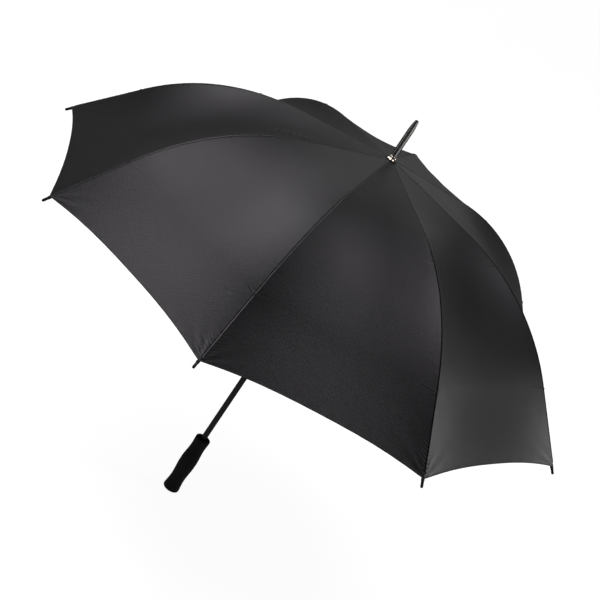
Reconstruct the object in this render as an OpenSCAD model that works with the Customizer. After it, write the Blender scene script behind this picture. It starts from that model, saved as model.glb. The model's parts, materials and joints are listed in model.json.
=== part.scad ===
// Golf umbrella with eight hinged ribs, a sliding runner and a straight foam grip.
// Millimetres. +Z runs up the shaft. The origin is the centre of the grip's flat end.

/* [Shaft and ends] */
// Height of the canopy's crown above the grip's flat end
crown_height = 928; // [900:1:950]
// Outer radius of the shaft tube
shaft_radius = 6.5; // [6.3:0.1:6.7]
// Length of the ferrule above the crown
ferrule_length = 102; // [90:1:110]
// Radius of the ferrule's straight shank
ferrule_radius = 6.8; // [6.6:0.1:7]
// Radius of the chrome cap's rim
cap_radius = 11.5; // [11:0.1:12.5]

/* [Grip] */
// Length of the foam grip
grip_length = 150; // [140:1:155]
// Radius of the grip's flared end
grip_end_radius = 19.2; // [18.5:0.1:20]
// Radius of the grip's middle bulge
grip_bulge_radius = 19.3; // [18.5:0.1:20]
// Radius of the grip's two waists
grip_waist_radius = 16.6; // [15.5:0.1:17]

/* [Ribs and stretchers] */
// Rib length from its hinge to the canopy's corner
rib_length = 750; // [740:1:760]
// Slope of the rib beside the crown, in degrees below level
inner_drop = 8.44; // [8:0.1:9]
// Slope of the rib at the canopy's rim, in degrees below level
outer_drop = 48.34; // [46:0.1:50]
// Distance along the rib where its bend starts
bend_start = 209; // [200:1:215]
// Distance along the rib where its bend ends
bend_end = 573; // [565:1:580]
// Distance along the rib of the stretcher's pivot
stretcher_at = 330; // [328:1:332]
// Distance from the stretcher's pivot to the flex joint
flex_offset = 14; // [13:0.5:15]

/* [Canopy] */
// Thickness of the canopy's stand-in solids
canopy_thickness = 0.6; // [0.5:0.1:0.7]
// How far each panel sags inward between its ribs
panel_sag = 32; // [26:1:34]
// Depth of the scallop between two rib tips
scallop_depth = 18; // [12:1:24]

/* [Hidden] */
$fn = 64;
rib_total = 8;
rib_step = 360 / rib_total;
fit_gap = 0.02;
slide_gap = 0.08;

shaft_wall = 0.8;
shaft_bottom = 10;
shaft_top = crown_height + 1;
hinge_radius = 11;
hinge_height = crown_height - 4.8;
bend_turn = outer_drop - inner_drop;
bend_radius = (bend_end - bend_start) * 180 / (bend_turn * PI);
bend_start_r = hinge_radius + bend_start * cos(inner_drop);
bend_start_z = hinge_height - bend_start * sin(inner_drop);
bend_centre_r = bend_start_r - bend_radius * sin(inner_drop);
bend_centre_z = bend_start_z - bend_radius * cos(inner_drop);
bend_end_r = bend_centre_r + bend_radius * sin(outer_drop);
bend_end_z = bend_centre_z + bend_radius * cos(outer_drop);

function rib_drop(s) = inner_drop + bend_turn * max(0, min(1, (s - bend_start) / (bend_end - bend_start)));
function bent_r(s) = bend_centre_r + bend_radius * sin(rib_drop(s));
function bent_z(s) = bend_centre_z + bend_radius * cos(rib_drop(s));
function rib_r(s) =
    s < bend_start ? hinge_radius + s * cos(inner_drop)
    : s > bend_end ? bend_end_r + (s - bend_end) * cos(outer_drop)
    : bent_r(s);
function rib_z(s) =
    s < bend_start ? hinge_height - s * sin(inner_drop)
    : s > bend_end ? bend_end_z - (s - bend_end) * sin(outer_drop)
    : bent_z(s);

// The stretcher's pivot hangs below the rib, and mirrors the hinge about its own level.
pivot_offset = 7;
pivot_drop = rib_drop(stretcher_at);
pivot_r = rib_r(stretcher_at) - pivot_offset * sin(pivot_drop);
pivot_z = rib_z(stretcher_at) - pivot_offset * cos(pivot_drop);
runner_height = 2 * pivot_z - hinge_height;
link_length = sqrt(pow(pivot_r - hinge_radius, 2) + pow(pivot_z - runner_height, 2));
link_rise = atan2(pivot_z - runner_height, pivot_r - hinge_radius);

flex_at = stretcher_at + flex_offset;
flex_drop = rib_drop(flex_at);
flex_r = rib_r(flex_at);
flex_z = rib_z(flex_at);

eye_radius = 2;
eye_thickness = 2;
eye_hole = 0.8;
wire_radius = 0.6;
wire_gap = 0.05;
channel_height = 4;
channel_width = 4.4;
channel_wall = 0.7;
channel_from = 12;
ear_gap = channel_width - 2 * channel_wall;
run_overlap = 1.5;
run_inset = 0.05;
ear_radius = 2.4;
rivet_radius = 0.9;
rivet_gap = 0.05;
rivet_head_radius = 1.6;
rivet_head = 0.6;
rod_radius = 2.1;
rod_from = flex_at + 3.2;
rod_to = rib_length - 8;
flex_eye_radius = 1.9;
flex_eye_thickness = 2.8;
tip_radius = 3;
tip_from = rib_length - 12;
tip_to = rib_length + 14;
slot_width = 2.6;
slot_depth_radius = 8.6;

hub_radius = 14;
catch_azimuth = 202.5;
keyway_radius = 8.9;
keyway_width = 4.2;
sleeve_radius = 10.2;
sleeve_length = 56;
catch_thickness = 2.4;
catch_length = 26;
catch_pivot_r = 3;
catch_pin_length = 10.2;
catch_nose_r = 8.4;
top_catch_z = runner_height - sleeve_length - 0.5;
bottom_catch_z = 235;

black = [0.03, 0.03, 0.03];
foam = [0.05, 0.05, 0.05];
steel = [0.6, 0.6, 0.62];
chrome = [0.85, 0.84, 0.82];
cloth = [0.09, 0.09, 0.09];

module tube(outer, inner, from, to) {
    translate([0, 0, from]) difference() {
        cylinder(r = outer, h = to - from);
        translate([0, 0, -1]) cylinder(r = inner, h = to - from + 2);
    }
}

// A flat plate in the rib's plane, centred across it.
module plate(thickness) {
    rotate([90, 0, 0]) linear_extrude(thickness, center = true) children();
}

// The two cheeks either side of a gap, cut from a plate.
module cheeks(outer, inner) {
    difference() {
        plate(outer) children();
        plate(inner) gap_block();
    }
}

module gap_block() {
    translate([flex_r - 40, flex_z - 40]) square([80, 80]);
}

// A section swept along a straight part of a rib, which may reach a little into the bend.
module straight_run(from, to) {
    middle = (from + to) / 2;
    translate([rib_r(middle), 0, rib_z(middle)])
        rotate([0, 90 + rib_drop(middle), 0])
            rotate([0, 0, 180])
                translate([0, 0, from - middle])
                    linear_extrude(to - from) children();
}

// A section swept along the bent part of a rib.
module bent_run(from, to) {
    translate([bend_centre_r, 0, bend_centre_z])
        rotate([90, 0, 0])
            rotate([0, 0, 90 - rib_drop(to)])
                rotate_extrude(angle = rib_drop(to) - rib_drop(from), $fn = 128)
                    translate([bend_radius, 0]) children();
}

// A folded channel, open below; inset thins its walls from both sides.
module channel_section(inset = 0) {
    difference() {
        square([channel_height - 2 * inset, channel_width - 2 * inset], center = true);
        translate([-channel_wall, 0])
            square([channel_height + 2 * inset, ear_gap + 2 * inset], center = true);
    }
}

module along_y(at_r, at_z, radius, length) {
    translate([at_r, 0, at_z]) rotate([90, 0, 0]) cylinder(r = radius, h = length, center = true);
}

module rib_inner() {
    color(steel) difference() {
        union() {
            plate(eye_thickness) {
                translate([hinge_radius, hinge_height]) circle(r = eye_radius);
                translate([hinge_radius, hinge_height]) rotate(-inner_drop)
                    translate([0, -1.4]) square([channel_from + 2, 2.8]);
            }
            straight_run(channel_from, channel_from + 5)
                square([channel_height - 0.3, channel_width - 0.3], center = true);
            straight_run(channel_from + 4, bend_start + run_overlap) channel_section(run_inset);
            bent_run(bend_start, flex_at - 3.2) channel_section();
            cheeks(channel_width - 0.2, ear_gap + 0.2) {
                translate([pivot_r, pivot_z]) circle(r = ear_radius);
                translate([pivot_r, pivot_z]) rotate(-pivot_drop)
                    translate([-ear_radius + 0.2, 0]) square([2 * ear_radius - 0.4, pivot_offset - 0.6]);
                translate([flex_r, flex_z]) circle(r = eye_radius - 0.1);
                translate([flex_r, flex_z]) rotate(-flex_drop)
                    translate([-6, -eye_radius + 0.3]) square([6, channel_height - 0.6]);
            }
        }
        along_y(hinge_radius, hinge_height, eye_hole, 10);
        along_y(pivot_r, pivot_z, rivet_radius + fit_gap, 10);
        along_y(flex_r, flex_z, rivet_radius + fit_gap, 10);
    }
}

module rivet(at_r, at_z) {
    along_y(at_r, at_z, rivet_radius, channel_width + 0.2);
    for (side = [-1, 1])
        translate([0, side * (channel_width / 2 + fit_gap + rivet_head / 2), 0])
            along_y(at_r, at_z, rivet_head_radius, rivet_head);
}

module rib_pins() {
    color(steel) {
        rivet(pivot_r, pivot_z);
        rivet(flex_r, flex_z);
    }
}

module rib_outer() {
    color(black) difference() {
        union() {
            plate(flex_eye_thickness) {
                translate([flex_r, flex_z]) circle(r = flex_eye_radius);
                translate([flex_r, flex_z]) rotate(-flex_drop)
                    translate([0, -1.3]) square([4, 2.6]);
            }
            bent_run(rod_from, bend_end) circle(r = rod_radius);
            straight_run(bend_end - run_overlap, rod_to) circle(r = rod_radius - run_inset);
        }
        along_y(flex_r, flex_z, rivet_radius + rivet_gap, 10);
    }
}

module rib_tip() {
    socket = rod_to - tip_from + fit_gap;
    length = tip_to - tip_from;
    color(black)
        translate([rib_r(tip_from), 0, rib_z(tip_from)])
            rotate([0, 90 + outer_drop, 0])
                difference() {
                    union() {
                        cylinder(r = tip_radius, h = length - tip_radius);
                        translate([0, 0, length - tip_radius]) sphere(r = tip_radius);
                    }
                    translate([0, 0, -1]) cylinder(r = rod_radius + fit_gap, h = socket + 1);
                }
}

module stretcher() {
    color(steel)
        translate([hinge_radius, 0, runner_height])
            rotate([0, -link_rise, 0])
                difference() {
                    union() {
                        plate(eye_thickness) {
                            circle(r = eye_radius);
                            translate([link_length, 0]) circle(r = eye_radius);
                            translate([0, -1.6]) square([link_length, 3.2]);
                        }
                        plate(3.6) translate([20, -1.7]) square([link_length - 40, 3.4]);
                    }
                    plate(2.2) translate([24, -3]) square([link_length - 48, 3.9]);
                    along_y(0, 0, eye_hole, 10);
                    along_y(link_length, 0, rivet_radius + rivet_gap + 0.05, 10);
                }
}

module at_catch(height) {
    rotate([0, 0, catch_azimuth]) translate([0, 0, height]) children();
}

module shaft() {
    color(black) difference() {
        tube(shaft_radius, shaft_radius - shaft_wall, shaft_bottom, shaft_top);
        for (height = [top_catch_z, bottom_catch_z])
            at_catch(height) {
                translate([0, -1.6, 2 - catch_length]) cube([20, 3.2, catch_length]);
                along_y(catch_pivot_r, -catch_length, rivet_radius + fit_gap, 30);
            }
        rotate([0, 0, catch_azimuth]) along_y(0, runner_height + 6.6, rivet_radius + fit_gap, 30);
    }
}

module cross_pins() {
    color(steel) {
        for (height = [top_catch_z, bottom_catch_z])
            at_catch(height) along_y(catch_pivot_r, -catch_length, rivet_radius, catch_pin_length);
        rotate([0, 0, catch_azimuth]) along_y(0, runner_height + 6.6, rivet_radius, 17);
    }
}

module catch_spring() {
    color(steel) difference() {
        plate(catch_thickness) {
            translate([catch_pivot_r, -catch_length]) circle(r = 2);
            polygon([
                [catch_pivot_r - 1.6, -catch_length],
                [catch_pivot_r + 1.6, -catch_length],
                [4.8, -15],
                [catch_nose_r, -2],
                [catch_nose_r, 0],
                [3.2, 0],
                [3.2, -12]
            ]);
        }
        along_y(catch_pivot_r, -catch_length, rivet_radius + rivet_gap, 10);
    }
}

module top_catch() {
    at_catch(top_catch_z) catch_spring();
}

module bottom_catch() {
    at_catch(bottom_catch_z) catch_spring();
}

// Eight radial slots that hold the eyes of the ribs or stretchers.
module hub_slots(from, to) {
    for (turn = [0 : rib_total - 1])
        rotate([0, 0, turn * rib_step])
            translate([slot_depth_radius, -slot_width / 2, from])
                cube([hub_radius, slot_width, to - from]);
}

module wire_ring(radius, height) {
    translate([0, 0, height]) rotate_extrude($fn = 96)
        translate([hinge_radius, 0]) circle(r = radius, $fn = 24);
}

module notch() {
    bore = shaft_radius + fit_gap;
    low = hinge_height - 7;
    high = hinge_height + 3.4;
    color(black) difference() {
        rotate_extrude() polygon([
            [bore, low - 9], [9.6, low - 9], [10, low - 6], [10, low - 3],
            [hub_radius - 1, low], [hub_radius, low + 1], [hub_radius, high - 0.6], [hub_radius - 0.6, high],
            [bore, high]
        ]);
        hub_slots(low - 8, hinge_height + 2.4);
        wire_ring(wire_radius + wire_gap, hinge_height);
    }
}

module notch_wire() {
    color(steel) wire_ring(wire_radius, hinge_height);
}

module top_washer() {
    tube_from = crown_height + 0.15;
    color(cloth) tube(hub_radius, shaft_radius + 0.3, tube_from, tube_from + 0.9);
}

// A bell that slips over the ferrule's stud and carries a narrow collar.
cap_base = crown_height + 1.2;
cap_top = cap_base + 9;
stud_radius = 4.4;
ferrule_taper = 2.2;
ferrule_taper_length = 28;
module cap() {
    color(chrome) rotate_extrude() polygon([
        [stud_radius + fit_gap, cap_base], [cap_radius - 0.5, cap_base], [cap_radius, cap_base + 0.5],
        [cap_radius, cap_base + 1.3], [cap_radius - 0.5, cap_base + 1.9], [cap_radius - 1.3, cap_base + 2.6],
        [cap_radius - 2.3, cap_base + 3.7], [cap_radius - 3.1, cap_base + 5],
        [cap_radius - 3.6, cap_base + 6.4], [cap_radius - 3.7, cap_base + 8.2],
        [cap_radius - 4.2, cap_top - 0.2], [cap_radius - 4.6, cap_top], [stud_radius + fit_gap, cap_top]
    ]);
}

module ferrule() {
    spigot = shaft_radius - shaft_wall - fit_gap;
    start = shaft_top + fit_gap;
    end = crown_height + ferrule_length;
    shoulder = cap_top + fit_gap;
    taper_from = end - ferrule_taper_length;
    nose = ferrule_radius - ferrule_taper;
    taper_step = (ferrule_taper_length - nose) / 7;
    color(black) rotate_extrude() polygon(concat(
        [[0, start - 24], [spigot - 0.6, start - 24], [spigot, start - 23], [spigot, start]],
        [[stud_radius, start], [stud_radius, shoulder]],
        [[ferrule_radius, shoulder], [ferrule_radius, taper_from]],
        [for (i = [1 : 7]) [ferrule_radius - ferrule_taper * pow(i / 7, 1.4), taper_from + i * taper_step]],
        [for (a = [15 : 15 : 75]) [nose * cos(a), end - nose + nose * sin(a)]],
        [[0, end]]
    ));
}

module runner() {
    bore = shaft_radius + slide_gap;
    low = runner_height - sleeve_length;
    high = runner_height + 5;
    color(black) difference() {
        rotate_extrude() polygon([
            [bore, low], [11.4, low], [12, low + 0.6], [12, low + 3.4], [11.4, low + 4],
            [sleeve_radius, low + 5], [sleeve_radius, runner_height - 9], [hub_radius - 1, runner_height - 5],
            [hub_radius, runner_height - 4], [hub_radius, high - 0.6], [hub_radius - 0.6, high], [bore, high]
        ]);
        hub_slots(runner_height - 2.8, high + 1);
        wire_ring(wire_radius + wire_gap, runner_height);
        rotate([0, 0, catch_azimuth])
            translate([0, -keyway_width / 2, low - 1]) cube([keyway_radius, keyway_width, high - low + 2]);
    }
}

module runner_wire() {
    color(steel) wire_ring(wire_radius, runner_height);
}

// The grip's outline: radius against distance below the top rim, with the places where it turns.
grip_rim = 1;
upper_waist = 26;
bulge_from = 66;
bulge_to = 72;
lower_waist = 116;
function swell(x) = (1 - cos(180 * max(0, min(1, x)))) / 2;
function grip_r(d) =
    d < upper_waist ? grip_waist_radius + grip_rim * (1 - swell(d / upper_waist))
    : d < bulge_from ? grip_waist_radius
        + (grip_bulge_radius - grip_waist_radius) * swell((d - upper_waist) / (bulge_from - upper_waist))
    : d < lower_waist ? grip_bulge_radius
        - (grip_bulge_radius - grip_waist_radius) * swell((d - bulge_to) / (lower_waist - bulge_to))
    : grip_waist_radius
        + (grip_end_radius - grip_waist_radius) * swell((d - lower_waist) / (grip_length - lower_waist));

module grip() {
    bore = shaft_radius + fit_gap;
    end_round = 4.5;
    body = grip_length - end_round;
    color(foam) difference() {
        rotate_extrude() polygon(concat(
            [[0, 0], [grip_end_radius - 5, 0], [grip_end_radius - 2.4, 0.8], [grip_end_radius - 0.8, 2.3]],
            [for (i = [0 : 31]) [grip_r(body * (1 - i / 32)), end_round + body * i / 32]],
            [[grip_r(0), grip_length - 3], [grip_r(0) - 0.9, grip_length - 0.9]],
            [[grip_r(0) - 3, grip_length], [10, grip_length], [9.4, grip_length - 0.6]],
            [[9.4, grip_length - 6], [0, grip_length - 6]]
        ));
        translate([0, 0, shaft_bottom - fit_gap]) cylinder(r = bore, h = grip_length);
    }
}

// The canopy's surface, as share s along a panel and share v across it.
panel_rows = 22;
panel_columns = 14;
panel_inner = 0.001;
panel_edge = 0.998;
half_step = rib_step / 2;
function seam_r(s) = rib_r(s * rib_length);
function seam_z(s) = rib_z(s * rib_length) + crown_height - hinge_height;
sag_centre = 0.648;
sag_spread = 0.33;
rim_lift = 0.456;
scallop_power = 2.46;
corner_cut = 14;
function sag_share(s) =
    rim_lift * pow(s, 4) - exp(-pow((s - sag_centre) / sag_spread, 2)) * swell(s / 0.4);
function sag(s, v) = panel_sag * sag_share(s) * (1 - v * v);
function scallop(v) = scallop_depth * (1 - pow(abs(v), scallop_power)) + corner_cut * pow(abs(v), 30);
function rim_share(v) = 1 - scallop(v) / rib_length;
function panel_point(s, v, lower) = [
    seam_r(s) * cos(half_step) + sag(s, v) * sin(rib_drop(s * rib_length)),
    seam_r(s) * sin(half_step) * v,
    seam_z(s) + (sag(s, v) - lower) * cos(rib_drop(s * rib_length))
        - lower * sin(rib_drop(s * rib_length)) * tan(rib_drop(s * rib_length))
];
function across(j) = panel_edge * (2 * j / panel_columns - 1);
function along(i, j) = panel_inner + (rim_share(across(j)) - panel_inner) * i / panel_rows;
panel_width = panel_columns + 1;
panel_half = (panel_rows + 1) * panel_width;

module canopy_panel(number) {
    points = [
        for (lower = [0, canopy_thickness], i = [0 : panel_rows], j = [0 : panel_columns])
            panel_point(along(i, j), across(j), lower)
    ];
    upper_faces = [
        for (i = [0 : panel_rows - 1], j = [0 : panel_columns - 1])
            let (a = i * panel_width + j)
                each [[a, a + 1, a + panel_width + 1], [a, a + panel_width + 1, a + panel_width]]
    ];
    lower_faces = [for (f = upper_faces) [f[2] + panel_half, f[1] + panel_half, f[0] + panel_half]];
    rim = concat(
        [for (j = [0 : panel_columns - 1]) j],
        [for (i = [0 : panel_rows - 1]) i * panel_width + panel_columns],
        [for (j = [panel_columns : -1 : 1]) panel_rows * panel_width + j],
        [for (i = [panel_rows : -1 : 1]) i * panel_width]
    );
    side_faces = [
        for (k = [0 : len(rim) - 1])
            let (a = rim[k], b = rim[(k + 1) % len(rim)])
                each [[a, a + panel_half, b + panel_half], [a, b + panel_half, b]]
    ];
    color(cloth)
        rotate([0, 0, (number - 0.5) * rib_step])
            polyhedron(points, concat(upper_faces, lower_faces, side_faces), convexity = 6);
}

module around(number) {
    rotate([0, 0, (number - 1) * rib_step]) children();
}

shaft();
grip();
cross_pins();
top_catch();
bottom_catch();
notch();
notch_wire();
top_washer();
cap();
ferrule();
runner();
runner_wire();
around(1) rib_inner();  // rib_inner_1
around(2) rib_inner();  // rib_inner_2
around(3) rib_inner();  // rib_inner_3
around(4) rib_inner();  // rib_inner_4
around(5) rib_inner();  // rib_inner_5
around(6) rib_inner();  // rib_inner_6
around(7) rib_inner();  // rib_inner_7
around(8) rib_inner();  // rib_inner_8
around(1) rib_pins();  // rib_pins_1
around(2) rib_pins();  // rib_pins_2
around(3) rib_pins();  // rib_pins_3
around(4) rib_pins();  // rib_pins_4
around(5) rib_pins();  // rib_pins_5
around(6) rib_pins();  // rib_pins_6
around(7) rib_pins();  // rib_pins_7
around(8) rib_pins();  // rib_pins_8
around(1) rib_outer();  // rib_outer_1
around(2) rib_outer();  // rib_outer_2
around(3) rib_outer();  // rib_outer_3
around(4) rib_outer();  // rib_outer_4
around(5) rib_outer();  // rib_outer_5
around(6) rib_outer();  // rib_outer_6
around(7) rib_outer();  // rib_outer_7
around(8) rib_outer();  // rib_outer_8
around(1) rib_tip();  // rib_tip_1
around(2) rib_tip();  // rib_tip_2
around(3) rib_tip();  // rib_tip_3
around(4) rib_tip();  // rib_tip_4
around(5) rib_tip();  // rib_tip_5
around(6) rib_tip();  // rib_tip_6
around(7) rib_tip();  // rib_tip_7
around(8) rib_tip();  // rib_tip_8
around(1) stretcher();  // stretcher_1
around(2) stretcher();  // stretcher_2
around(3) stretcher();  // stretcher_3
around(4) stretcher();  // stretcher_4
around(5) stretcher();  // stretcher_5
around(6) stretcher();  // stretcher_6
around(7) stretcher();  // stretcher_7
around(8) stretcher();  // stretcher_8
canopy_panel(1);  // canopy_panel_1
canopy_panel(2);  // canopy_panel_2
canopy_panel(3);  // canopy_panel_3
canopy_panel(4);  // canopy_panel_4
canopy_panel(5);  // canopy_panel_5
canopy_panel(6);  // canopy_panel_6
canopy_panel(7);  // canopy_panel_7
canopy_panel(8);  // canopy_panel_8
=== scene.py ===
"""Looks of the golf umbrella: cloth, seams, hems, finishes, light and camera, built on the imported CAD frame."""

import json
import math

import bpy
import numpy as np
from mathutils import Matrix, Vector


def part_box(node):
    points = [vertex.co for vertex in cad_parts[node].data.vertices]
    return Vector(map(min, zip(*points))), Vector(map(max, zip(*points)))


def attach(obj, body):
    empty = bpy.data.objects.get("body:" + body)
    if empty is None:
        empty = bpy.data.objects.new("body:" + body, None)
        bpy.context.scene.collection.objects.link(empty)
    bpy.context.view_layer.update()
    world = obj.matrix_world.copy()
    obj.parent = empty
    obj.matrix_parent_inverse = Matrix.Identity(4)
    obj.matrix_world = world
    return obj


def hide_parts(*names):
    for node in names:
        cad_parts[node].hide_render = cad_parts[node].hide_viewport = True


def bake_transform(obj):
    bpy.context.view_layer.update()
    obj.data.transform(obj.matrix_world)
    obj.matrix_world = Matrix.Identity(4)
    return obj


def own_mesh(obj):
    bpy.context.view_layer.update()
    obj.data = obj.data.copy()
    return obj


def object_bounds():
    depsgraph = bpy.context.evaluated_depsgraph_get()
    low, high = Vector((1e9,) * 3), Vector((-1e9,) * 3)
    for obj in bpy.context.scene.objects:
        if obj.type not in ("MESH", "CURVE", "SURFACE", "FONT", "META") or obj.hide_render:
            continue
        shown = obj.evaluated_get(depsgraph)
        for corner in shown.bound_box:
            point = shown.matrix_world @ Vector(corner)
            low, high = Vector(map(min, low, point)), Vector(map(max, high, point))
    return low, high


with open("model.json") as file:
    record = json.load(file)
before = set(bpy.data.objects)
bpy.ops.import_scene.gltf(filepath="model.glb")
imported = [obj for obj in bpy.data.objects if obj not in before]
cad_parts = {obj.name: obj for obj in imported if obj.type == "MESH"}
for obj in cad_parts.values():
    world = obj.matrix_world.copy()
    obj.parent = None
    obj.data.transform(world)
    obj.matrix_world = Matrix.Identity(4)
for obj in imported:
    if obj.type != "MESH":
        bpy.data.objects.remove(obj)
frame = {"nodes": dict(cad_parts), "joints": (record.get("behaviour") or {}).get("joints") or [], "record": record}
cad_low, cad_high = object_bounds()
joints = {j["name"]: j for j in frame["joints"]}
MM = 0.001
RIBS = 8
STEP = 2 * math.pi / RIBS
HALF = STEP / 2

# ---------------------------------------------------------------- shape of the canopy
HINGE = joints["canopy_fold"]["pos_m"]
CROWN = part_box("top_washer")[0].z - 0.15 * MM
RIB_LENGTH = 750 * MM
BEND_FROM, BEND_TO = 209 * MM, 573 * MM
DROP_IN, DROP_OUT = math.radians(8.44), math.radians(48.34)
BEND_RADIUS = (BEND_TO - BEND_FROM) / (DROP_OUT - DROP_IN)
SAG = 32 * MM
SCALLOP = 18 * MM
FLEX_AT = 344 * MM
CROWN_ZONE = 100 * MM
TIES = (303 * MM, 580 * MM)
# Two back panels hang less between their ribs than the rest
SAG_SHARE = {4: 0.42, 5: 0.8}
# A row of small puckers: panel, where it starts (along, from the seam), its run and its slant
PUCKERED = (7, 155 * MM, 22 * MM, 145 * MM, 54 * MM)
ROW_HEIGHT, ROW_PITCH, ROW_WIDTH = 0.9 * MM, 13.5 * MM, 6 * MM
# Stitching puckers along each seam
PUCKER_PITCH, PUCKER_REACH = 2.3 * MM, 7 * MM
# Soft folds that fan out from each corner, and finer gathers along the seam above it
FAN_RAYS, FAN_HEIGHT, FAN_REACH, FAN_FROM = 11, 0.3 * MM, 60 * MM, 30 * MM
GATHER_PITCH, GATHER_REACH, GATHER_FROM, GATHER_RUN = 8 * MM, 9 * MM, 645 * MM, 60 * MM
GATHER_HEIGHT = {2: 0.42 * MM, 8: 0.06 * MM}
OTHER_GATHERS = 0.22 * MM
# Broad uneven pull of the whole panel, and the ripple of its hem
PULL_HEIGHT = 0.6 * MM
RIPPLE_HEIGHT, RIPPLE_PITCH, RIPPLE_REACH = 0.2 * MM, 6.5 * MM, 10 * MM
# The anticlockwise side of a seam is creased less than the other
CREASE_SHARE = {1: 0.5, -1: 1.0}


def drop(s):
    return DROP_IN + (DROP_OUT - DROP_IN) * np.clip((s - BEND_FROM) / (BEND_TO - BEND_FROM), 0, 1)


def seam_line(s):
    """Radius and height of the seam at distance s along a rib."""
    bend = drop(np.minimum(s, BEND_TO))
    past = np.maximum(s - BEND_TO, 0)
    r = HINGE[0] + np.minimum(s, BEND_FROM) * math.cos(DROP_IN)
    z = CROWN - np.minimum(s, BEND_FROM) * math.sin(DROP_IN)
    r = r + BEND_RADIUS * (np.sin(bend) - math.sin(DROP_IN)) + past * math.cos(DROP_OUT)
    z = z - BEND_RADIUS * (math.cos(DROP_IN) - np.cos(bend)) - past * math.sin(DROP_OUT)
    return r, np.minimum(z, CROWN - 0.1 * MM)


def swell(x):
    return (1 - np.cos(np.pi * np.clip(x, 0, 1))) / 2


def sag(s):
    u = s / RIB_LENGTH
    return SAG * (0.456 * u**4 - np.exp(-(((u - 0.648) / 0.33) ** 2)) * swell(u / 0.4))


def rim(v):
    """Distance along the panel of its scalloped edge."""
    return RIB_LENGTH - SCALLOP * (1 - np.abs(v) ** 2.46) - 1.5 * MM * np.abs(v) ** 60


def noise(seed, x, y):
    """A smooth value from about -1 to 1, from a few fixed waves."""
    rng = np.random.default_rng(seed)
    total = 0
    for _ in range(5):
        a, b = rng.uniform(-1, 1, 2)
        total = total + np.sin(a * x + b * y + rng.uniform(0, 6.28))
    return total / 3


def fold_line(s, d, start, end, height, width):
    """A thin raised crease from start to end, both (along, from the seam) in millimetres."""
    a, b = np.array(start) * MM, np.array(end) * MM
    run = b - a
    t = ((s - a[0]) * run[0] + (d - a[1]) * run[1]) / (run @ run)
    near = np.clip(t, 0, 1)
    apart = np.hypot(s - a[0] - near * run[0], d - a[1] - near * run[1])
    return height * MM * np.exp(-((apart / (width * MM)) ** 2)) * (1 - 0.7 * near)


def crease_lines(rib, side):
    """The creases beside one seam: pulls at the ties and fans at the corner."""
    rng = np.random.default_rng(100 * rib + 7 * side)
    lines = []
    for tie in TIES:
        at, reach = tie / MM, rng.uniform(24, 40)
        lines.append(((at, 2), (at - rng.uniform(2, 8), reach), rng.uniform(0.28, 0.5), 1.7))
        if rng.uniform() < 0.6:
            lines.append(((at + 2, 2), (at + rng.uniform(8, 16), reach * 0.7), 0.22, 1.6))
    for _ in range(3):
        s0, d0 = rng.uniform(716, 738), rng.uniform(8, 14)
        turn = rng.uniform(0.6, 1.2)
        reach = rng.uniform(18, 34)
        end = (s0 - reach * math.cos(turn), d0 + reach * math.sin(turn))
        lines.append(((s0, d0), end, rng.uniform(0.22, 0.42), rng.uniform(1.5, 2.2)))
    s0, d0 = rng.uniform(600, 690), rng.uniform(30, 60)
    lines.append(((s0, d0), (s0 - 6, d0 + 22), 0.16, 1.8))
    return lines


def seam_puckers(s, from_seam, seam):
    wander = 2.4 * noise(11, s * 160, seam * 1.7)
    ripple = np.exp(-from_seam / PUCKER_REACH) * np.sin(s / PUCKER_PITCH + wander)
    strength = 0.06 + 0.12 * swell(noise(5, s * 22, seam * 2.3) + 0.3)
    return MM * ripple * strength * swell((s - 12 * MM) / (30 * MM))


def pucker_row(s, v, from_seam):
    _, start, inset, run, slant = PUCKERED
    along = (s - start) / run
    off = from_seam - inset - along * slant
    row = np.sin(2 * np.pi * (s - start + 0.5 * off) / ROW_PITCH) * np.exp(-((off / ROW_WIDTH) ** 2))
    return np.where(v > 0, ROW_HEIGHT * row * swell(6 * along) * swell(6 * (1 - along)), 0)


def corner_folds(s, v, from_seam, seam):
    corner = np.hypot(RIB_LENGTH - s, from_seam) + 1e-9
    turn = np.arctan2(from_seam, RIB_LENGTH - s + 1e-6)
    rays = np.sin(FAN_RAYS * turn + 1.9 * seam + np.sign(v))
    fan = FAN_HEIGHT * rays * np.exp(-corner / FAN_REACH) * swell(corner / FAN_FROM)
    wave = np.sin(2 * np.pi * (s + 0.5 * from_seam) / GATHER_PITCH + seam) * np.exp(-from_seam / GATHER_REACH)
    height = np.full(np.shape(wave), OTHER_GATHERS)
    for number, gathered in GATHER_HEIGHT.items():
        height = np.where(seam == number, gathered, height)
    return fan + height * wave * swell((s - GATHER_FROM) / GATHER_RUN)


def crease(panel, s, v):
    """How far the cloth stands out of its smooth surface: folds, puckers and pulls."""
    width = seam_line(s)[0] * math.sin(HALF)
    from_seam = width * (1 - np.abs(v))
    seam = np.where(v < 0, panel, panel % RIBS + 1)
    total = seam_puckers(s, from_seam, seam)
    for half, where in ((1, v < 0), (-1, v >= 0)):
        rib = panel if half > 0 else panel % RIBS + 1
        for line in crease_lines(rib, half):
            total = total + np.where(where, fold_line(s, from_seam, *line), 0) * CREASE_SHARE[half]
    if panel == PUCKERED[0]:
        total = total + pucker_row(s, v, from_seam)
    total = total + corner_folds(s, v, from_seam, seam)
    u = s / RIB_LENGTH
    pull = noise(40 + panel, np.abs(v) * 9 + 2 * v, u * 3)
    total = total + PULL_HEIGHT * pull * swell(u / 0.5) * (1 - v * v)
    hem = np.exp(-(rim(v) - s) / RIPPLE_REACH) * np.sin(v * width / RIPPLE_PITCH + panel)
    return total + RIPPLE_HEIGHT * hem * (1 - v**8)


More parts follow.
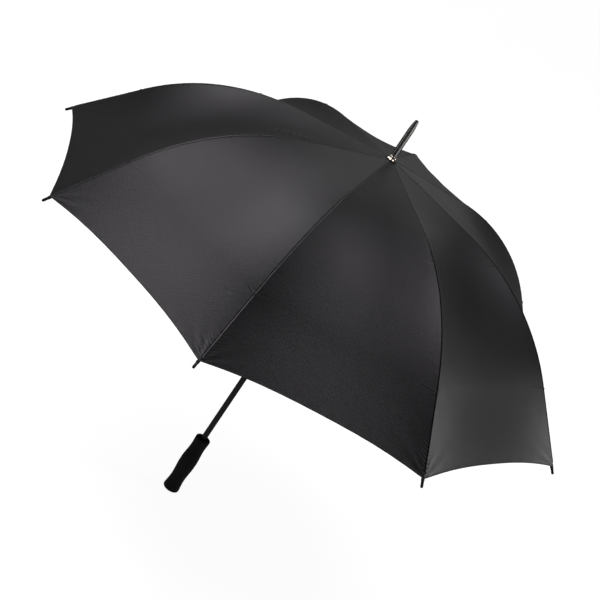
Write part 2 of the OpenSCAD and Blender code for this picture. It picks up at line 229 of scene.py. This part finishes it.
def smooth_point(panel, s, v):
    r, z = seam_line(s)
    inward = sag(s) * SAG_SHARE.get(panel, 1.0) * (1 - v * v)
    slope = drop(s)
    x = r * math.cos(HALF) + inward * np.sin(slope)
    y = r * math.sin(HALF) * v
    cos, sin = math.cos((panel - 0.5) * STEP), math.sin((panel - 0.5) * STEP)
    return np.stack([x * cos - y * sin, x * sin + y * cos, z + inward * np.cos(slope)], -1)


def normal_of(point, panel, s, v):
    ds, dv = 0.4 * MM, 0.002
    a = point(panel, s + ds, v) - point(panel, s - ds, v)
    b = point(panel, s, v + dv) - point(panel, s, v - dv)
    n = np.cross(a, b)
    return n / np.linalg.norm(n, axis=-1, keepdims=True)


def cloth_point(panel, s, v):
    n = normal_of(smooth_point, panel, s, v)
    return smooth_point(panel, s, v) + n * crease(panel, s, v)[..., None]


# ---------------------------------------------------------------- mesh helpers
def build(name, points, faces, uv=None, normals=None, smooth=True):
    mesh = bpy.data.meshes.new(name)
    mesh.from_pydata([tuple(p) for p in points], [], faces)
    mesh.validate()
    if uv is not None:
        layer = mesh.uv_layers.new(name="UVMap")
        corners = np.array([uv[loop.vertex_index] for loop in mesh.loops], np.float32)
        layer.data.foreach_set("uv", corners.ravel())
    if smooth:
        mesh.shade_smooth()
    if normals is not None:
        mesh.normals_split_custom_set_from_vertices([tuple(n) for n in normals])
    obj = bpy.data.objects.new(name, mesh)
    bpy.context.scene.collection.objects.link(obj)
    return obj


def grid_faces(rows, columns, closed=False):
    faces = []
    for i in range(rows - 1):
        for j in range(columns if closed else columns - 1):
            k = (j + 1) % columns
            faces.append((i * columns + j, i * columns + k, (i + 1) * columns + k, (i + 1) * columns + j))
    return faces


def tube(name, path, radius, sides=10, caps=True):
    """A round tube along a path of points, with a radius for each point."""
    path = np.array(path, float)
    radius = np.broadcast_to(radius, (len(path),))
    tangent = np.gradient(path, axis=0)
    tangent /= np.linalg.norm(tangent, axis=1, keepdims=True)
    up = np.array([0, 0, 1.0]) if abs(tangent[0, 2]) < 0.9 else np.array([1.0, 0, 0])
    rings = []
    for p, t, r in zip(path, tangent, radius):
        across = np.cross(t, up)
        across /= np.linalg.norm(across)
        lift = np.cross(across, t)
        turn = np.arange(sides) * 2 * math.pi / sides
        rings.append(p + r * (np.cos(turn)[:, None] * across + np.sin(turn)[:, None] * lift))
        up = lift
    faces = grid_faces(len(path), sides, closed=True)
    if caps:
        faces += [tuple(range(sides))[::-1], tuple((len(path) - 1) * sides + k for k in range(sides))]
    return build(name, np.concatenate(rings), faces)


# ---------------------------------------------------------------- materials
# Threads run at 45 degrees across a panel. Scales are per metre of cloth.
BIAS = math.radians(45)
THREADS = 420
SLUB_STRETCH, CROSS_SLUB_STRETCH = (34, 330, 1), (420, 46, 1)
STITCHES = 110
CLOTH_TINT = (1.0, 0.945, 1.0, 1.0)
# The V coordinate at which a seam's groove, painted near-black as painted shade, ends and its lip, painted lighter as
# a painted highlight, starts
GROOVE = 0.004


class Nodes:
    """Short forms for building one material's node tree."""

    def __init__(self, name):
        self.material = bpy.data.materials.new(name)
        self.material.use_nodes = True
        self.tree = self.material.node_tree
        self.shader = self.tree.nodes["Principled BSDF"]

    def add(self, kind, **inputs):
        node = self.tree.nodes.new(kind)
        for key, value in inputs.items():
            if hasattr(node, key) and not key[0].isupper():
                setattr(node, key, value)
            else:
                node.inputs[key.replace("_", " ")].default_value = value
        return node

    def link(self, a, b):
        self.tree.links.new(a, b)

    def set(self, **values):
        for key, value in values.items():
            self.shader.inputs[key.replace("_", " ")].default_value = value

    def uv(self):
        return self.add("ShaderNodeTexCoord").outputs["UV"]

    def place(self):
        return self.add("ShaderNodeTexCoord").outputs["Object"]

    def math(self, operation, a, b=0.0):
        node = self.tree.nodes.new("ShaderNodeMath")
        node.operation = operation
        for slot, value in zip(node.inputs, (a, b)):
            if isinstance(value, (int, float)):
                slot.default_value = value
            else:
                self.link(value, slot)
        return node.outputs[0]

    def noise(self, where, scale, detail=3.0, rough=0.5):
        node = self.add("ShaderNodeTexNoise", Scale=scale, Detail=detail, Roughness=rough)
        self.link(where, node.inputs["Vector"])
        return node.outputs["Fac"]

    def wave(self, where, scale, direction):
        node = self.add("ShaderNodeTexWave", Scale=scale, Distortion=0.0)
        node.bands_direction = direction
        self.link(where, node.inputs["Vector"])
        return node.outputs["Fac"]

    def ramp(self, value, low, high, start=0.0, end=1.0):
        node = self.add("ShaderNodeMapRange")
        for key, number in (("From Min", start), ("From Max", end), ("To Min", low), ("To Max", high)):
            node.inputs[key].default_value = number
        self.link(value, node.inputs["Value"])
        return node.outputs["Result"]

    def tint(self, value, dark, light):
        node = self.add("ShaderNodeMix")
        node.data_type = "RGBA"
        node.inputs["A"].default_value = (*dark, 1)
        node.inputs["B"].default_value = (*light, 1)
        self.link(value, node.inputs["Factor"])
        self.link(node.outputs["Result"], self.shader.inputs["Base Color"])

    def bump(self, height, strength, distance, under=None):
        node = self.add("ShaderNodeBump", Strength=strength, Distance=distance)
        self.link(height, node.inputs["Height"])
        if under is not None:
            self.link(under, node.inputs["Normal"])
        return node.outputs["Normal"]

    def done(self, normal=None, rough=None):
        if normal is not None:
            self.link(normal, self.shader.inputs["Normal"])
        if rough is not None:
            self.link(rough, self.shader.inputs["Roughness"])
        return self.material


def slanted_uv(n):
    """The UV turned about its origin, so threads run at an angle to the panel."""
    mapping = n.add("ShaderNodeMapping")
    mapping.inputs["Rotation"].default_value = (0, 0, BIAS)
    n.link(n.uv(), mapping.inputs["Vector"])
    return mapping.outputs["Vector"]


def stretched(n, where, scale):
    mapping = n.add("ShaderNodeMapping")
    mapping.inputs["Scale"].default_value = scale
    n.link(where, mapping.inputs["Vector"])
    return mapping.outputs["Vector"]


def cloth_material(name, dark, light, rough):
    """Fine plain-woven cloth with thicker threads here and there and a faint unevenness."""
    n = Nodes(name)
    slanted = slanted_uv(n)
    warp = n.wave(slanted, THREADS, "X")
    weft = n.wave(slanted, THREADS, "Y")
    weave = n.math("MAXIMUM", warp, weft)
    slub = n.noise(stretched(n, slanted, SLUB_STRETCH), 1.0, 2.0)
    cross_slub = n.noise(stretched(n, slanted, CROSS_SLUB_STRETCH), 1.0, 2.0)
    cloud = n.noise(n.uv(), 6.0, 3.0, 0.6)
    mottle = n.noise(n.uv(), 150.0, 3.0, 0.6)
    n.tint(n.math("MULTIPLY", cloud, slub), dark, light)
    fold = n.bump(cloud, 0.12, 0.004)
    weave_bump = n.bump(weave, 0.25, 0.00012, fold)
    uneven = n.bump(mottle, 0.35, 0.0005, weave_bump)
    thread = n.bump(n.math("ADD", slub, cross_slub), 0.60, 0.0003, uneven)
    n.set(Specular_IOR_Level=0.5, Specular_Tint=CLOTH_TINT, Sheen_Weight=0.03, Sheen_Roughness=0.5)
    return n.done(thread, n.ramp(cloud, rough - 0.05, rough + 0.07))


def seam_material(name, dark, light):
    """Cloth with a line of stitches. Where V is low, along the groove, the colour is painted near-black with little
    gloss, as painted shade; the lip beside it is painted lighter, as a painted highlight.
    """
    n = Nodes(name)
    split = n.add("ShaderNodeSeparateXYZ")
    n.link(n.uv(), split.inputs[0])
    # painted shade and highlight: V under GROOVE gets the dark colour and low gloss as painted shade in the groove,
    # the lip gets the light colour as a painted highlight
    groove_shade_lip_highlight = n.ramp(split.outputs["Y"], 0.0, 1.0, GROOVE - 0.0004, GROOVE)
    stitches = n.wave(n.uv(), STITCHES, "X")
    n.tint(n.math("MULTIPLY", groove_shade_lip_highlight, n.ramp(stitches, 0.6, 1.0)), dark, light)
    weave = n.bump(n.wave(slanted_uv(n), THREADS, "X"), 0.2, 0.0001)
    thread = n.bump(stitches, 0.5, 0.0003, weave)
    n.set(Specular_Tint=CLOTH_TINT, Sheen_Weight=0.03, Sheen_Roughness=0.5)
    n.link(n.ramp(groove_shade_lip_highlight, 0.06, 0.7), n.shader.inputs["Specular IOR Level"])
    return n.done(thread, n.ramp(groove_shade_lip_highlight, 0.8, 0.38))


def foam_material(name):
    """Closed-cell foam: fine pores, soft dents and worn patches."""
    n = Nodes(name)
    cells = n.add("ShaderNodeTexVoronoi", Scale=900.0)
    n.link(n.place(), cells.inputs["Vector"])
    wear = n.noise(n.place(), 38, 5.0, 0.6)
    n.tint(wear, (0.004, 0.0036, 0.0043), (0.0085, 0.0078, 0.009))
    pores = n.bump(cells.outputs["Distance"], 0.35, 0.0004)
    dents = n.bump(n.noise(n.place(), 210, 3.0), 0.25, 0.0006, pores)
    n.set(Specular_IOR_Level=0.14, Sheen_Weight=0.01, Sheen_Roughness=0.6)
    return n.done(dents, n.ramp(wear, 0.75, 0.9))


def hard_material(name, dark, light, rough, metal=0.0, scratch=0.03, coat=0.0, specular=0.5):
    """Plastic, paint or plated metal with faint handling marks."""
    n = Nodes(name)
    marks = n.noise(n.place(), 300, 6.0, 0.65)
    smear = n.noise(n.place(), 22, 3.0, 0.5)
    n.tint(smear, dark, light)
    dents = n.bump(marks, scratch, 0.0003)
    n.set(Metallic=metal, Specular_IOR_Level=specular, Coat_Weight=coat, Coat_Roughness=0.05)
    return n.done(dents, n.ramp(n.math("ADD", smear, marks), rough * 0.8, rough * 1.3, 0.6, 1.4))


def turned_material(name, dark, light):
    """A hard black lacquer over fine turning marks, which draw highlights out along the axis."""
    n = Nodes(name)
    marks = n.noise(stretched(n, n.place(), (1, 1, 60)), 40, 4.0, 0.6)
    smear = n.noise(n.place(), 30, 3.0, 0.5)
    n.tint(smear, dark, light)
    n.set(Specular_IOR_Level=0.06, Roughness=0.3, Anisotropic=1.0, Anisotropic_Rotation=0.25)
    around = n.add("ShaderNodeTangent")
    around.direction_type = "RADIAL"
    around.axis = "Z"
    n.link(around.outputs["Tangent"], n.shader.inputs["Tangent"])
    return n.done(n.bump(marks, 0.03, 0.0002), n.ramp(smear, 0.28, 0.32))


CLOTH = cloth_material("canopy_cloth", (0.0058, 0.0052, 0.0061), (0.0124, 0.0113, 0.0129), 0.395)
# the seam's near-black colour is painted shade for its groove, the lighter one a painted highlight for its lip
SEAM = seam_material("canopy_seam", (0.0015, 0.0014, 0.0015), (0.03, 0.028, 0.031))
HEM = cloth_material("canopy_hem", (0.006, 0.0055, 0.006), (0.014, 0.013, 0.0145), 0.5)
FOAM = foam_material("grip_foam")
GLOSS = hard_material("black_plastic", (0.002, 0.002, 0.002), (0.005, 0.005, 0.005), 0.2, coat=0.2, specular=0.35)
TURNED = turned_material("black_plastic_turned", (0.0015, 0.0014, 0.0013), (0.004, 0.0038, 0.0036))
SATIN = hard_material("hub_plastic", (0.012, 0.012, 0.012), (0.022, 0.022, 0.022), 0.42, scratch=0.08)
PAINT = hard_material("shaft_paint", (0.011, 0.0105, 0.0115), (0.021, 0.02, 0.022), 0.26, scratch=0.04, coat=0.3)
FIBRE = hard_material("fibreglass", (0.008, 0.008, 0.008), (0.016, 0.016, 0.016), 0.35, scratch=0.1)
CHROME = hard_material("chrome", (0.6, 0.5, 0.41), (0.9, 0.85, 0.78), 0.09, metal=1.0, scratch=0.02)
THREAD = hard_material("binding_thread", (0.006, 0.0055, 0.006), (0.016, 0.015, 0.0165), 0.6, scratch=0.3)
ZINC = hard_material("zinc_steel", (0.42, 0.42, 0.43), (0.58, 0.58, 0.6), 0.32, metal=1.0, scratch=0.12)

FINISH = {
    "canopy_cloth": CLOTH,
    "grip_foam": FOAM,
    "black_plastic": GLOSS,
    "hub_plastic": SATIN,
    "chrome": CHROME,
    "shaft_paint": PAINT,
    "zinc_steel": ZINC,
    "fibreglass": FIBRE,
}
for part in frame["record"]["subparts"]:
    mesh = frame["nodes"][part["node"]].data
    mesh.materials.clear()
    mesh.materials.append(TURNED if part["node"] == "ferrule" else FINISH[part["material_slot"]])


# ---------------------------------------------------------------- the cloth
def dress(obj, material):
    obj.data.materials.append(material)
    return obj


# How each zone of a half panel folds: direction, share kept and fixed point, for the half
# on a rib's anticlockwise side with the rib along +X. Lengths are in metres.
FOLDS = {
    "crown": ((0.0730, 0.9918, -0.1052), 0.4033, (0.01126, 0.00529, 0.92738)),
    "inner": ((-0.0129, 0.9852, -0.1710), 0.1880, (0.20881, 0.00013, 0.89858)),
    "outer": ((-0.1854, 0.9581, -0.2184), 0.0937, (0.51541, 0.00217, 0.74404)),
}
ZONES = {"crown": (-4 * MM, CROWN_ZONE), "inner": (CROWN_ZONE, FLEX_AT), "outer": (FLEX_AT, None)}
COLUMNS = 34
# Row spacing in millimetres up to each distance along the rib: fine at the ties and the corner
SPACING = ((100, 5), (292, 5), (314, 1.7), (344, 5), (566, 6.5), (594, 1.6), (650, 5.5), (751, 2.0))
FINE_SPACING = ((100, 5), (150, 5), (314, 2), *SPACING[3:])
SKIRT = 30 * MM


def turn_about_shaft(v, angle):
    x, y, z = v
    return (x * math.cos(angle) - y * math.sin(angle), x * math.sin(angle) + y * math.cos(angle), z)


def fold_with(obj, rib, side, zone):
    """Hangs a cloth piece on its rib, or on the rib's end for the outer zone, and gives it a mesh of its own; its
    fold direction and fixed point are worked out but not applied. side is 1 or -1.
    """
    direction, keep, anchor = FOLDS[zone]
    angle = (rib - 1) * STEP
    direction = turn_about_shaft((direction[0], side * direction[1], direction[2]), angle)
    anchor = turn_about_shaft((anchor[0], side * anchor[1], anchor[2]), angle)
    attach(obj, f"rib_end_{rib}" if zone == "outer" else f"rib_{rib}")
    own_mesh(obj)


def row_places(start, end, spacing):
    """Distances along the rib for a zone's rows, in metres."""
    places, at = [start / MM], start / MM
    for stop, gap in spacing:
        stop = min(stop, end / MM)
        if stop > at + 0.01:
            count = max(1, round((stop - at) / gap))
            places += list(np.linspace(at, stop, count + 1)[1:])
            at = stop
    return np.array(places) * MM


def half_grid(rib, side, start, end):
    """Panel number and (s, v) grids of a half panel beside a rib, seam first."""
    panel = rib if side > 0 else (rib - 2) % RIBS + 1
    across = 1 - np.linspace(0, 1, COLUMNS) ** 1.6
    v = -across if side > 0 else across
    rows = row_places(start, end if end else RIB_LENGTH, FINE_SPACING if panel == PUCKERED[0] else SPACING)
    t = (rows - start) / (rows[-1] - start)
    v = np.tile(v, (len(rows), 1))
    if end:
        return panel, np.tile(rows[:, None], (1, COLUMNS)), v
    # the last rows follow the scallop, the first stay square to the rib
    bent = swell((t - 0.25) / 0.75)[:, None]
    return panel, rows[:, None] + (rim(v) - RIB_LENGTH) * bent, v


def uv_of(s, v):
    width = seam_line(s)[0] * math.sin(HALF)
    return np.stack([s, width * v], -1).reshape(-1, 2)


def flat_size(s, v):
    """Greatest width, length and area of the half panel's flat cut."""
    width = (seam_line(s)[0] * math.sin(HALF) * (1 - 0 * v))[:, 0]
    run = (s[:, 0] + s[:, -1]) / 2
    area = float(np.sum((width[1:] + width[:-1]) / 2 * np.diff(run)))
    return float(width.max()), float(max(s[-1, 0] - s[0, 0], s[-1, -1] - s[0, -1])), area


def cloth_piece(rib, side, zone):
    start, end = ZONES[zone]
    panel, s, v = half_grid(rib, side, start, end)
    points = cloth_point(panel, s, v).reshape(-1, 3)
    normals = normal_of(cloth_point, panel, s, v).reshape(-1, 3)
    uv = uv_of(s, v)
    faces = grid_faces(len(s), COLUMNS)
    if zone != "outer":  # a strip under the next zone, which shows only as the canopy folds
        extra = np.linspace(end, end + (SKIRT if zone == "inner" else SKIRT / 3), 6)[:, None] + 0 * v[:6]
        under = cloth_point(panel, extra, v[:6])
        lowered = normal_of(cloth_point, panel, extra, v[:6])
        depth = np.array([0, 0.9, 1.0, 1.0, 1.0, 1.0])[:, None, None] * MM
        first = len(points) - COLUMNS
        points = np.concatenate([points, (under - lowered * depth)[1:].reshape(-1, 3)])
        normals = np.concatenate([normals, lowered[1:].reshape(-1, 3)])
        uv = np.concatenate([uv, uv_of(extra, v[:6])[COLUMNS:]])
        faces += [tuple(first + k for k in f) for f in grid_faces(6, COLUMNS)]
    if side > 0:
        faces = [f[::-1] for f in faces]
    label = f"cloth_{panel}{'a' if side > 0 else 'b'}_{zone}"
    obj = build(label, points, faces, uv, normals)
    dress(obj, CLOTH)
    fold_with(obj, rib, side, zone)
    return obj, flat_size(s, v), panel


# The hem's section in millimetres: (ahead of the cloth's edge, height above the cloth)
HEM_SECTION = [(-2.2, 0.35), (-1.0, 0.5), (0.2, 0.45), (0.8, 0.1), (0.7, -0.5), (-0.4, -0.85), (-4, -0.9), (-9, -0.7)]


def hem_piece(rib, side):
    """The rolled hem along half a scallop: a narrow turn on top and a wide one beneath."""
    panel = rib if side > 0 else (rib - 2) % RIBS + 1
    columns = 60
    across = 1 - np.linspace(0, 1, columns)
    v = -across if side > 0 else across
    v = v * 0.997
    edge = rim(v)
    rows = []
    for ahead_by, lift in HEM_SECTION:
        s = edge + min(ahead_by, 0) * MM
        p = cloth_point(panel, s, v)
        n = normal_of(cloth_point, panel, s, v)
        ahead = cloth_point(panel, s + MM, v) - p
        ahead /= np.linalg.norm(ahead, axis=1, keepdims=True)
        rows.append(p + n * lift * MM + ahead * max(ahead_by, 0) * MM)
    uv = np.concatenate([np.stack([v * 0.25, np.full(columns, k * 0.0015)], -1) for k in range(len(HEM_SECTION))])
    faces = grid_faces(len(HEM_SECTION), columns)
    if side > 0:
        faces = [f[::-1] for f in faces]
    obj = build(f"hem_{panel}{'a' if side > 0 else 'b'}", np.concatenate(rows), faces, uv)
    dress(obj, HEM)
    fold_with(obj, rib, side, "outer")
    return obj


for rib in range(1, RIBS + 1):
    for side in (1, -1):
        hem = hem_piece(rib, side)
        for zone in ZONES:
            cloth, (width, length, area), panel = cloth_piece(rib, side, zone)
            if side > 0 and zone == "outer":
                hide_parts(f"canopy_panel_{rib}")


# A seam's section in millimetres: (across the seam, height above the cloth). The groove comes first, painted
# near-black by the seam material as painted shade, and the lip, painted lighter as a painted highlight, rises from
# it. Both narrow towards the crown.
GROOVE_SECTION = [(-1.9, 0.08), (-1.6, 0.3), (-0.8, 0.32), (0, 0.36)]
LIP_SECTION = [(0.35, 0.5), (1.0, 0.95), (1.7, 1.32), (2.4, 1.3), (3.1, 0.7), (3.4, 0.08)]
SEAM_SECTION = GROOVE_SECTION + LIP_SECTION
SEAM_V_STEP = 0.0008
SEAM_NARROW, SEAM_WIDENS_AT, SEAM_WIDENS_OVER = 0.4, 190 * MM, 110 * MM
SEAM_ENDS = (8 * MM, 741 * MM)


def seam_strip(rib):
    """The raised felled seam over a rib, which bends where the rib does."""
    s = np.concatenate([np.linspace(SEAM_ENDS[0], 330 * MM, 110), np.linspace(333 * MM, SEAM_ENDS[1], 150)])
    before = (rib - 2) % RIBS + 1
    full = SEAM_NARROW + (1 - SEAM_NARROW) * swell((s - SEAM_WIDENS_AT) / SEAM_WIDENS_OVER)
    columns = []
    for out, lift in SEAM_SECTION:
        panel = rib if out >= 0 else before
        width = seam_line(s)[0] * math.sin(HALF)
        inset = np.minimum(abs(out) * full * MM / width, 0.9)
        v = -(1 - inset) if out >= 0 else (1 - inset)
        calm = normal_of(smooth_point, panel, s, v)
        if out == 0:
            calm = calm + normal_of(smooth_point, before, s, -v)
            calm /= np.linalg.norm(calm, axis=1, keepdims=True)
        taper = swell((s - 6 * MM) / (14 * MM))[:, None] * 0.75 + 0.25
        columns.append(cloth_point(panel, s, v) + calm * lift * MM * taper * (0.1 + 0.9 * full)[:, None])
    points = np.stack(columns, 1).reshape(-1, 3)
    # the groove's columns get V under GROOVE, where the seam material paints them as painted shade; the lip's columns
    # get V above it, painted lighter as a painted highlight
    heights = [GROOVE + (k - len(GROOVE_SECTION)) * SEAM_V_STEP for k in range(len(SEAM_SECTION))]
    uv = np.concatenate([[(x, height) for height in heights] for x in s])
    obj = build(f"seam_{rib}", points, grid_faces(len(s), len(SEAM_SECTION)), uv)
    dress(obj, SEAM)
    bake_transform(obj)


def seam_at(rib, s):
    r, z = seam_line(np.array([s]))
    return Vector(turn_about_shaft((float(r[0]), 0, float(z[0])), (rib - 1) * STEP))


def frame_at(rib, s):
    """Place and axes (along the rib, across it, out of the cloth) at a point of a seam."""
    slope = float(drop(np.array([s]))[0])
    angle = (rib - 1) * STEP
    along = Vector(turn_about_shaft((math.cos(slope), 0, -math.sin(slope)), angle))
    across = Vector(turn_about_shaft((0, 1, 0), angle))
    return seam_at(rib, s), along, across, across.cross(along) * -1


TIE_TURNS, TIE_PITCH, TIE_THREAD = 4, 0.62 * MM, 0.34 * MM
TIE_HALF_WIDTH, TIE_RISE = 2.5 * MM, 1.15 * MM


def tie_piece(rib, number, s):
    """A small bound stitch that holds the seam down to the rib."""
    place, along, across, out = frame_at(rib, s)
    parts = []
    for k in range(TIE_TURNS):
        path = []
        for a in np.linspace(-0.35, math.pi + 0.35, 12):
            lean = (k - (TIE_TURNS - 1) / 2) * TIE_PITCH + 0.25 * MM * math.sin(3 * a + k)
            rise = TIE_RISE * math.sin(a) + 0.1 * MM
            path.append(place + along * lean + across * (TIE_HALF_WIDTH * math.cos(a)) + out * rise)
        parts.append(tube(f"tie_part_{rib}_{number}_{k}", path, TIE_THREAD, 7))
    obj = join(parts, f"tie_{rib}_{number}")
    dress(obj, THREAD)
    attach(obj, f"rib_{rib}" if s < FLEX_AT else f"rib_end_{rib}")


def join(objects, name):
    """Several meshes as one object."""
    points, faces = [], []
    for o in objects:
        first = len(points)
        points += [tuple(p.co) for p in o.data.vertices]
        faces += [tuple(first + k for k in f.vertices) for f in o.data.polygons]
        mesh = o.data
        bpy.data.objects.remove(o)
        bpy.data.meshes.remove(mesh)
    return build(name, points, faces)


# A tip pocket in millimetres: (along the rib from its middle, radius)
POCKET_PROFILE = ((-9, 3.15), (-7, 3.3), (0, 3.3), (5, 3.45), (10, 3.65), (12.2, 3.5), (12, 3.2))
POCKET_AT, POCKET_BELOW = 738 * MM, 4.8 * MM


def tip_pocket(rib):
    """The little cloth cup that the rib's end is pushed into."""
    place, along, across, out = frame_at(rib, POCKET_AT)
    centre = place - Vector((0, 0, POCKET_BELOW))
    sides, rings = 20, []
    for step, radius in POCKET_PROFILE:
        ring = []
        for k in range(sides):
            a = 2 * math.pi * k / sides
            ruck = 1 + 0.035 * math.sin(5 * a + step)
            ring.append(centre + along * step * MM + (across * math.cos(a) + out * math.sin(a)) * radius * ruck * MM)
        rings += ring
    uv = [(step * 4 * MM, k * MM) for step in range(len(POCKET_PROFILE)) for k in range(sides)]
    obj = build(f"tip_pocket_{rib}", rings, grid_faces(len(POCKET_PROFILE), sides, closed=True), uv)
    dress(obj, HEM)
    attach(obj, f"rib_end_{rib}")


for rib in range(1, RIBS + 1):
    seam_strip(rib)
    tip_pocket(rib)
    for number, s in enumerate(TIES):
        tie_piece(rib, number + 1, s)

# the cloth washer under the cap, with a rolled edge and a slight wave
WASHER_SIDES, WASHER_WAVE = 72, 0.12
# The washer's section in millimetres: (radius, height), over the top, round the edge and back
WASHER_PROFILE = [(6.9, 0.55), (9, 0.62), (12, 0.5), (13.4, 0.42)]
WASHER_PROFILE += [(14.0, 0.2), (13.9, -0.05), (13.2, -0.1), (12.4, 0.02)]
WASHER_RADIUS = max(r for r, _ in WASHER_PROFILE)
washer_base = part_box("top_washer")[0].z
points = []
for r, z in WASHER_PROFILE:
    for k in range(WASHER_SIDES):
        a = 2 * math.pi * k / WASHER_SIDES
        wave = WASHER_WAVE * math.sin(RIBS * a) * (r / WASHER_RADIUS) ** 3
        points.append((r * MM * math.cos(a), r * MM * math.sin(a), washer_base + (z + wave) * MM))
faces = grid_faces(len(WASHER_PROFILE), WASHER_SIDES, closed=True)
washer = build("crown_washer", points, faces, [p[:2] for p in points])
dress(washer, HEM)
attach(washer, "frame")
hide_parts("top_washer")

# ---------------------------------------------------------------- stage, light and camera
FLOOR_SIZE = 40.0
# The floor glows a little less near the umbrella than at the far distance, in metres
FLOOR_GLOW, GLOW_NEAR, GLOW_FAR = 0.93, 1.5, 12.0


def floor_material():
    n = Nodes("floor_paper")
    n.tint(n.noise(n.place(), 3.0), (0.28, 0.28, 0.28), (0.32, 0.32, 0.32))
    n.set(Specular_IOR_Level=0.0)
    n.shader.inputs["Emission Color"].default_value = (1, 1, 1, 1)
    apart = n.add("ShaderNodeVectorMath", operation="LENGTH")
    n.link(n.place(), apart.inputs[0])
    n.link(n.ramp(apart.outputs["Value"], FLOOR_GLOW, 1.0, GLOW_NEAR, GLOW_FAR), n.shader.inputs["Emission Strength"])
    return n.done(None, n.ramp(n.noise(n.place(), 8.0), 0.85, 0.95))


ground = cad_low.z - 0.5 * MM
corners = ((-1, -1), (1, -1), (1, 1), (-1, 1))
floor = build("floor", [(x * FLOOR_SIZE, y * FLOOR_SIZE, ground) for x, y in corners], [(0, 1, 2, 3)], smooth=False)
floor.data.materials.append(floor_material())
floor.visible_glossy = False


def backdrop_material():
    n = Nodes("backdrop_paper")
    n.set(Specular_IOR_Level=0.0, Emission_Strength=1.0)
    n.shader.inputs["Emission Color"].default_value = (1, 1, 1, 1)
    n.tint(n.noise(n.place(), 2.0), (0.9, 0.9, 0.9), (0.95, 0.95, 0.95))
    return n.done()


# a round white wall far behind the floor, which is seen but lights nothing
WALL_SIDES = 48
angles = np.linspace(0, 2 * math.pi, WALL_SIDES + 1)[:-1]
ring = [(FLOOR_SIZE * 0.9 * math.cos(a), FLOOR_SIZE * 0.9 * math.sin(a)) for a in angles]
peak = 2 * WALL_SIDES
roof = [(WALL_SIDES + k, WALL_SIDES + (k + 1) % WALL_SIDES, peak) for k in range(WALL_SIDES)]
wall = build(
    "backdrop",
    [(x, y, z) for z in (ground, FLOOR_SIZE) for x, y in ring] + [(0, 0, FLOOR_SIZE * 1.2)],
    grid_faces(2, WALL_SIDES, closed=True) + roof,
    smooth=False,
)
wall.data.materials.append(backdrop_material())
wall.visible_diffuse = False
wall.visible_glossy = False
wall.visible_shadow = False

# the middle of the canopy, which the lights and the camera aim at
centre = Vector((0, 0, CROWN - 0.298))


def area_light(name, azimuth, elevation, power, size=(1.6, 1.6), distance=4.0, only=None):
    """A soft box aimed at the canopy; only names the one object it lights."""
    data = bpy.data.lights.new(name, "AREA")
    data.shape = "RECTANGLE"
    data.size, data.size_y = size
    data.energy = power
    obj = bpy.data.objects.new(name, data)
    bpy.context.scene.collection.objects.link(obj)
    a, e = math.radians(azimuth), math.radians(elevation)
    out = Vector((math.cos(a) * math.cos(e), math.sin(a) * math.cos(e), math.sin(e)))
    obj.location = centre + out * distance
    obj.rotation_euler = out.to_track_quat("Z", "Y").to_euler()
    obj.visible_camera = False
    if only:
        lit = bpy.data.collections.new(f"{name}_lights")
        lit.objects.link(only)
        obj.light_linking.receiver_collection = lit


# Soft boxes: name, azimuth and elevation in degrees, power in watts
SOFT_BOXES = (
    ("key_high_left", 320, 65, 30.0),
    ("key_left", 257, 45, 24.5),
    ("front_left", 334, 45, 27.0),
    ("low_right", 120, 8, 27.0),
    ("back_high", 240, 65, 12.5),
    ("high_right", 80, 65, 13.0),
    ("high_far_right", 120, 65, 9.5),
    ("left", 282, 45, 7.6),
    ("back_left", 205, 45, 6.0),
    ("back_low", 180, 25, 4.0),
)
# Strips that show only in the ferrule, as the gleams down its sides: size in metres last
STRIPS = (
    ("strip_left", 305, 5, 190.0, (0.6, 1.4)),
    ("strip_right", 70, 5, 620.0, (2.2, 1.4)),
)
STRIP_DISTANCE = 2.0
for soft_box in SOFT_BOXES:
    area_light(*soft_box)
for strip in STRIPS:
    area_light(*strip, STRIP_DISTANCE, frame["nodes"]["ferrule"])

world = bpy.data.worlds.new("studio")
world.use_nodes = True
world.node_tree.nodes["Background"].inputs["Color"].default_value = (1, 1, 1, 1)
world.node_tree.nodes["Background"].inputs["Strength"].default_value = 0.04
bpy.context.scene.world = world

AZIMUTH, ELEVATION, ROLL = math.radians(7.7101), math.radians(21.6858), math.radians(33.9835)
DISTANCE, LENS = 4.38214, 123.0325
LEFT_OF_CENTRE, BELOW_CENTRE = 0.03515, 0.06269
back = Vector(
    (math.cos(AZIMUTH) * math.cos(ELEVATION), math.sin(AZIMUTH) * math.cos(ELEVATION), math.sin(ELEVATION))
)
level = Vector((0, 0, 1)).cross(back).normalized()
upright = back.cross(level)
right = level * math.cos(ROLL) + upright * math.sin(ROLL)
up = upright * math.cos(ROLL) - level * math.sin(ROLL)
aim = centre - right * LEFT_OF_CENTRE - up * BELOW_CENTRE
eye = aim + back * DISTANCE
camera_data = bpy.data.cameras.new("camera")
camera_data.lens = LENS
camera_data.sensor_width = 36
camera_data.clip_end = 100
camera = bpy.data.objects.new("camera", camera_data)
bpy.context.scene.collection.objects.link(camera)
camera.matrix_world = Matrix(
    ((right.x, up.x, back.x, eye.x), (right.y, up.y, back.y, eye.y), (right.z, up.z, back.z, eye.z), (0, 0, 0, 1))
)
bpy.context.scene.camera = camera
bpy.context.scene.view_settings.view_transform = "Standard"
